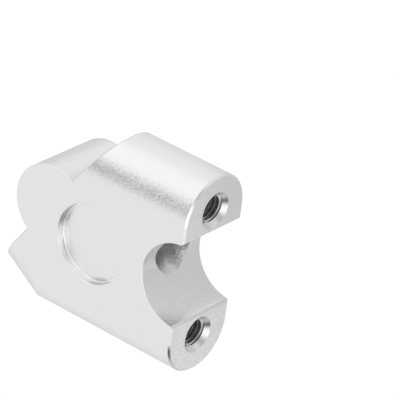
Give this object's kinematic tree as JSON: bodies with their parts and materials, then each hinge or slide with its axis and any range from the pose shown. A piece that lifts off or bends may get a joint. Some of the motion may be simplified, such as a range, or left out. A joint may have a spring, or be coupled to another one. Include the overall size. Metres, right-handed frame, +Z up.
{
  "type": "motorcycle bar riser",
  "caption": "Milled aluminium block that lifts a handlebar and pulls it back: half-round boss for the lower clamp, leaning body, half-round bar saddle, tapped and counterbored holes.",
  "frame": {"origin": "in the shoulder plane, under the axis of the half-round boss, halfway through the thickness", "axes": "+X forward, towards the side where the foot bends; +Y along the handlebar; +Z up, along the base bolts, away from the lower clamp"},
  "size_m": [0.0891, 0.0278, 0.0794],
  "materials": {
    "blasted_aluminium": "bead blasted and clear anodised, with the countersinks and pocket walls left as machined"
  },
  "bodies": {
    "root": {"riser_body": "blasted_aluminium"}
  },
  "joints": []
}
